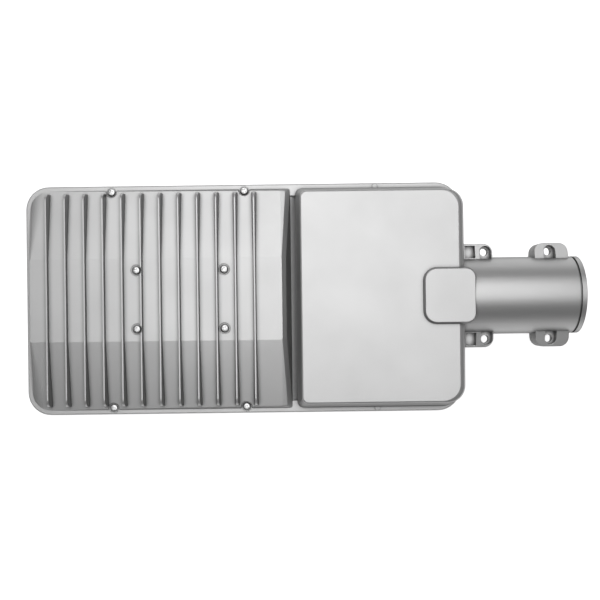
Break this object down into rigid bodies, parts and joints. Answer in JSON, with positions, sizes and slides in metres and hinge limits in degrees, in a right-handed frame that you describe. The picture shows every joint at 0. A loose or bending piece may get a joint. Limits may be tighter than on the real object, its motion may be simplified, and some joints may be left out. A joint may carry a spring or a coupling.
{
  "type": "solar street light",
  "caption": "Lamp head of a split solar street light: die-cast housing with cooling fins, an equipment box, a glass window below and a split collar for the pole arm.",
  "frame": {"origin": "centre of the pole socket's mouth, on the socket's axis", "axes": "+X out of the socket along the pole arm, +Z to the sky, +Y across; the body lies towards -X"},
  "size_m": [0.503, 0.21, 0.0722],
  "materials": {
    "casting": "die-cast, fine blasted, silver",
    "steel": "bright zinc",
    "rubber": "silicone rubber",
    "spreader": "milled",
    "thermal": "soft silicone pad",
    "board": "white solder mask",
    "led": "phosphor",
    "reflector": "bright pressed sheet",
    "glass": "clear, toughened",
    "battery": "shrink wrap",
    "controller": "potted plastic shell",
    "terminal": "ivory plastic"
  },
  "bodies": {
    "root": {"rear_housing": "casting", "lower_frame": "casting", "clamp_half": "casting", "frame_gasket": "rubber", "rim_screws": "steel", "module_screws": "steel", "heat_spreader": "spreader", "thermal_pad": "thermal", "led_board": "board", "led_packages": "led", "board_screws": "steel", "reflector": "reflector", "glass_window": "glass", "glass_seal": "rubber", "glass_clips": "steel", "clip_screws": "steel", "battery_pack": "battery", "battery_strap": "steel", "strap_screws": "steel", "charge_controller": "controller", "controller_screws": "steel", "terminal_block": "terminal", "terminal_screws": "steel", "battery_cover": "casting", "cover_gasket": "rubber", "cover_screws": "steel", "cable_grommet": "rubber"}
  },
  "joints": []
}
